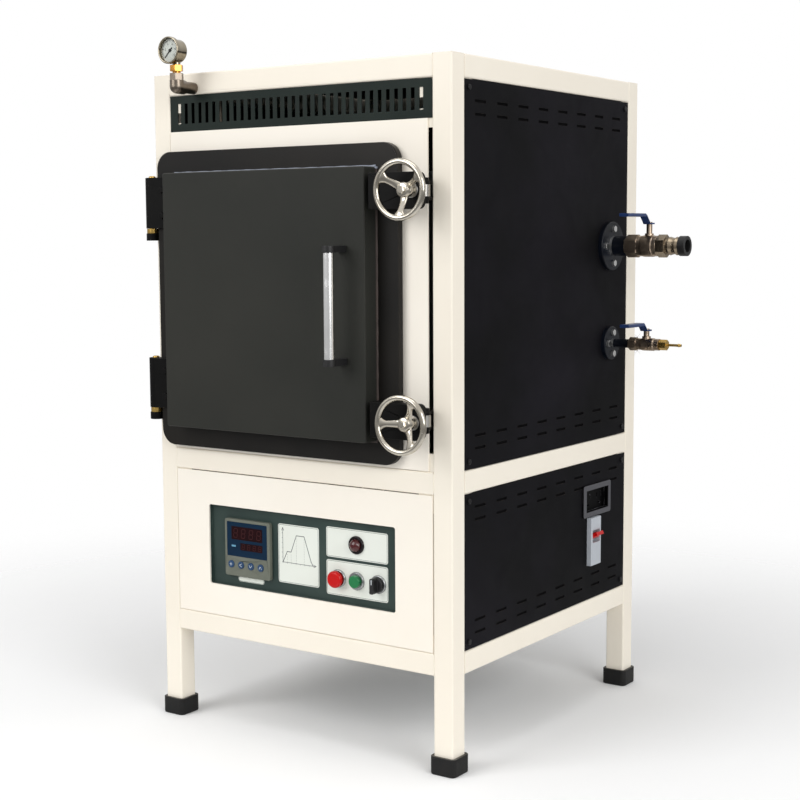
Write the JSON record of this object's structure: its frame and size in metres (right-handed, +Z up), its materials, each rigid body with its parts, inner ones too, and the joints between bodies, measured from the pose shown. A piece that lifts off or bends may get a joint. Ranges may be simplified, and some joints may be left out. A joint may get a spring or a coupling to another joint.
{
  "type": "vacuum furnace",
  "caption": "Box vacuum furnace on a square-tube frame: hinged insulated door with hand-wheel clamps, control panel, pump and gas valves at the side, and a vacuum gauge on top.",
  "frame": {"origin": "on the floor under the middle of the square-tube frame", "axes": "+Z up, the door faces -Y, +X is the right-hand side seen from the front, where the ports are"},
  "size_m": [0.7435, 0.7054, 1.1395],
  "materials": {
    "frame_paint": "satin cream powder coat",
    "panel_paint": "fine-textured charcoal powder coat",
    "door_paint": "satin charcoal paint",
    "grille_paint": "satin dark green-grey paint",
    "tray_paint": "satin dark green-grey paint",
    "black_paint": "satin black paint",
    "foot_rubber": "matt black",
    "seal_rubber": "matt red-brown",
    "black_zinc": "black zinc plated",
    "vessel_steel": "welded stainless steel",
    "sheet_zinc": "zinc-coated sheet",
    "fibre": "vacuum-formed ceramic fibre, matt",
    "ceramic": "fired ceramic, matt",
    "element_alloy": "oxidised heating alloy",
    "bright_steel": "turned steel",
    "bright_chrome": "polished chrome",
    "valve_nickel": "nickel-plated brass, dulled",
    "brass": "machined",
    "black_moulding": "moulded black",
    "grey_moulding": "moulded blue-grey",
    "white_moulding": "moulded white",
    "red_moulding": "moulded red",
    "green_moulding": "moulded green",
    "key_moulding": "moulded blue",
    "lens_red": "dark red moulded lens",
    "clear_glass": "clear",
    "pointer_black": "matt black",
    "lever_blue": "plated steel with a dipped blue sleeve"
  },
  "bodies": {
    "cabinet": {"frame_posts": "frame_paint", "frame_rails": "frame_paint", "foot_caps": "foot_rubber", "top_cover": "panel_paint", "vent_grille": "grille_paint", "upper_front_panel": "frame_paint", "lower_front_panel": "frame_paint", "control_tray": "tray_paint", "right_panels": "panel_paint", "left_panels": "panel_paint", "rear_panels": "panel_paint", "bay_shelves": "sheet_zinc", "panel_screws": "black_zinc", "vacuum_vessel": "vessel_steel", "vessel_seal": "seal_rubber", "fibre_lining": "fibre", "hearth_plate": "ceramic", "heating_elements": "element_alloy", "thermocouple": "ceramic", "hinge_brackets": "black_paint", "hinge_pins": "brass", "clamp_brackets": "black_paint", "clamp_nuts": "bright_steel", "port_stubs": "black_paint", "pump_valve_body": "valve_nickel", "pump_hose_coupling": "valve_nickel", "gas_valve_body": "valve_nickel", "gas_hose_barb": "brass", "gauge_pipework": "valve_nickel", "gauge_case": "bright_chrome", "gauge_lens": "clear_glass", "controller_case": "grey_moulding", "operator_bezels": "bright_chrome", "lamp_lens": "lens_red", "socket_outlet": "black_moulding", "breaker_body": "white_moulding", "din_rail": "sheet_zinc", "power_unit": "black_moulding"},
    "door": {"door_plate": "door_paint", "door_box": "door_paint", "door_plug": "fibre", "handle_bar": "bright_chrome", "handle_mounts": "black_moulding", "door_hinges": "black_paint", "clamp_lugs": "black_paint"},
    "upper_slide": {"upper_collar": "bright_steel"},
    "upper_hand_wheel": {"upper_wheel": "bright_chrome"},
    "lower_slide": {"lower_collar": "bright_steel"},
    "lower_hand_wheel": {"lower_wheel": "bright_chrome"},
    "pump_lever": {"pump_valve_lever": "lever_blue"},
    "gas_lever": {"gas_valve_lever": "lever_blue"},
    "pointer": {"gauge_pointer": "pointer_black"},
    "key_1": {"controller_key_1": "key_moulding"},
    "key_2": {"controller_key_2": "key_moulding"},
    "key_3": {"controller_key_3": "key_moulding"},
    "key_4": {"controller_key_4": "key_moulding"},
    "stop": {"stop_button": "red_moulding"},
    "start": {"start_button": "green_moulding"},
    "selector": {"selector_knob": "black_moulding"},
    "toggle": {"breaker_toggle": "red_moulding"}
  },
  "joints": [
    {"name": "door_swing", "type": "hinge", "parent": "cabinet", "child": "door", "pos_m": [-0.2915, -0.317, 0.717], "axis": [0, 0, -1], "range_deg": [0, 120]},
    {"name": "upper_clamp_travel", "type": "slide", "parent": "door", "child": "upper_slide", "axis": [0, -1, 0], "range_m": [0, 0.018]},
    {"name": "upper_clamp_turn", "type": "hinge", "parent": "upper_slide", "child": "upper_hand_wheel", "pos_m": [0.256, -0.3848, 0.887], "axis": [0, -1, 0], "range_deg": [0, 4320]},
    {"name": "lower_clamp_travel", "type": "slide", "parent": "door", "child": "lower_slide", "axis": [0, -1, 0], "range_m": [0, 0.018]},
    {"name": "lower_clamp_turn", "type": "hinge", "parent": "lower_slide", "child": "lower_hand_wheel", "pos_m": [0.256, -0.3848, 0.547], "axis": [0, -1, 0], "range_deg": [0, 4320]},
    {"name": "pump_valve_turn", "type": "hinge", "parent": "cabinet", "child": "pump_lever", "pos_m": [0.3695, 0.202, 0.8424], "axis": [0, 0, 1], "range_deg": [0, 90]},
    {"name": "gas_valve_turn", "type": "hinge", "parent": "cabinet", "child": "gas_lever", "pos_m": [0.3665, 0.202, 0.66], "axis": [0, 0, 1], "range_deg": [0, 90]},
    {"name": "pointer_turn", "type": "hinge", "parent": "cabinet", "child": "pointer", "pos_m": [-0.206, -0.3585, 1.118], "axis": [0, 1, 0], "range_deg": [0, 270]},
    {"name": "key_1_press", "type": "slide", "parent": "cabinet", "child": "key_1", "axis": [0, 1, 0], "range_m": [0, 0.0008], "stiffness_N_per_m": 1000, "springref_m": -0.0005},
    {"name": "key_2_press", "type": "slide", "parent": "cabinet", "child": "key_2", "axis": [0, 1, 0], "range_m": [0, 0.0008], "stiffness_N_per_m": 1000, "springref_m": -0.0005},
    {"name": "key_3_press", "type": "slide", "parent": "cabinet", "child": "key_3", "axis": [0, 1, 0], "range_m": [0, 0.0008], "stiffness_N_per_m": 1000, "springref_m": -0.0005},
    {"name": "key_4_press", "type": "slide", "parent": "cabinet", "child": "key_4", "axis": [0, 1, 0], "range_m": [0, 0.0008], "stiffness_N_per_m": 1000, "springref_m": -0.0005},
    {"name": "stop_press", "type": "slide", "parent": "cabinet", "child": "stop", "axis": [0, 1, 0], "range_m": [0, 0.004], "stiffness_N_per_m": 1500, "springref_m": -0.002},
    {"name": "start_press", "type": "slide", "parent": "cabinet", "child": "start", "axis": [0, 1, 0], "range_m": [0, 0.003], "stiffness_N_per_m": 1500, "springref_m": -0.0015},
    {"name": "selector_turn", "type": "hinge", "parent": "cabinet", "child": "selector", "pos_m": [0.153, -0.301, 0.2808], "axis": [0, 1, 0], "range_deg": [0, 90]},
    {"name": "breaker_throw", "type": "hinge", "parent": "cabinet", "child": "toggle", "pos_m": [0.2967, 0.147, 0.3], "axis": [0, 1, 0], "range_deg": [0, 50]}
  ],
  "couplings": [
    {"joint": "upper_clamp_travel", "follows": "upper_clamp_turn", "m_per_rad": 0.00023873},
    {"joint": "lower_clamp_travel", "follows": "lower_clamp_turn", "m_per_rad": 0.00023873}
  ]
}
